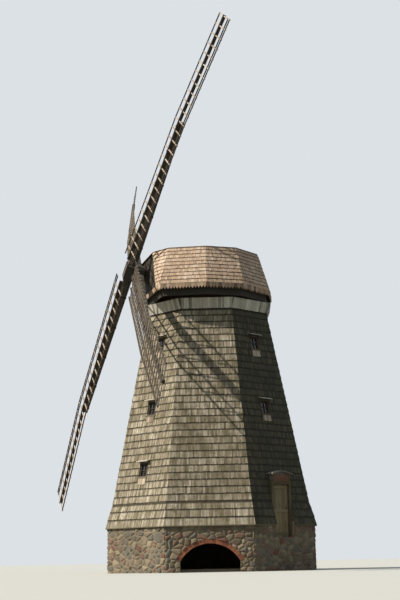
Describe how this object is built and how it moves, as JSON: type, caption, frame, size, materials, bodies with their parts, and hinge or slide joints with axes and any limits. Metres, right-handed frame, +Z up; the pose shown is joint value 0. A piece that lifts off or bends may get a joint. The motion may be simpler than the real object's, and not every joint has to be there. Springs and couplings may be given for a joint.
{
  "type": "smock windmill",
  "caption": "Smock windmill: rubble base with a brick arch, shingled eight-sided tower, turning cap with a tilted windshaft and lattice sails, and a plank door.",
  "frame": {"origin": "on the tower axis at ground level, in the plane of the base walls' undersides", "axes": "+Z up; -Y out of the side with the arch; the windshaft points to -X and a little to -Y at rest"},
  "size_m": [10.4126, 18.2562, 20.1851],
  "materials": {
    "brick": "weathered matte",
    "rubble": "weathered matte",
    "glass": "dusty",
    "dark_timber": "weathered matte",
    "weathered_wood": "weathered matte",
    "grey_shingles": "weathered matte",
    "silver_shingles": "weathered matte",
    "new_shingles": "weathered matte",
    "shaded_boards": "weathered matte",
    "silver_boards": "weathered matte",
    "reddish_wood": "weathered matte",
    "door_planks": "weathered matte",
    "inner_timber": "weathered matte"
  },
  "bodies": {
    "tower": {"arch_ring": "brick", "base_wall_back": "rubble", "base_wall_door": "rubble", "base_wall_front": "rubble", "base_wall_left": "rubble", "base_wall_right": "rubble", "collar": "silver_shingles", "curb": "inner_timber", "door_casing": "reddish_wood", "door_roof": "silver_boards", "ground_floor": "inner_timber", "tower_side_0": "grey_shingles", "tower_side_1": "grey_shingles", "tower_side_2": "grey_shingles", "tower_side_3": "grey_shingles", "tower_side_4": "grey_shingles", "tower_side_5": "grey_shingles", "tower_side_6": "grey_shingles", "tower_side_7": "grey_shingles", "undercroft_floor": "rubble", "upper_floors": "inner_timber", "window_frames": "silver_boards", "window_glass": "glass", "window_hoods": "silver_boards"},
    "cap": {"cap_breast": "shaded_boards", "cap_frame": "inner_timber", "cap_fringe": "new_shingles", "cap_side_left": "new_shingles", "cap_side_right": "new_shingles", "cap_soffit": "shaded_boards", "cap_tail": "new_shingles", "cap_top": "new_shingles"},
    "sails": {"sail_1_lattice": "weathered_wood", "sail_1_whip": "weathered_wood", "sail_2_lattice": "weathered_wood", "sail_2_whip": "weathered_wood", "sail_3_lattice": "weathered_wood", "sail_3_whip": "weathered_wood", "sail_4_lattice": "weathered_wood", "sail_4_whip": "weathered_wood", "sail_head": "dark_timber", "stock_1": "dark_timber", "stock_2": "dark_timber", "windshaft": "dark_timber"},
    "door": {"door_leaf": "door_planks"}
  },
  "joints": [
    {"name": "cap_turn", "type": "hinge", "parent": "tower", "child": "cap", "pos_m": [0, 0, 10.11], "axis": [0, 0, 1], "continuous": true},
    {"name": "sails_turn", "type": "hinge", "parent": "cap", "child": "sails", "pos_m": [-2.80406, -0.81465, 11.34], "axis": [-0.931, -0.2705, 0.2453], "continuous": true},
    {"name": "door_swing", "type": "hinge", "parent": "tower", "child": "door", "pos_m": [2.72873, -2.18567, 1.2], "axis": [0, 0, -1], "range_deg": [0, 90]}
  ]
}
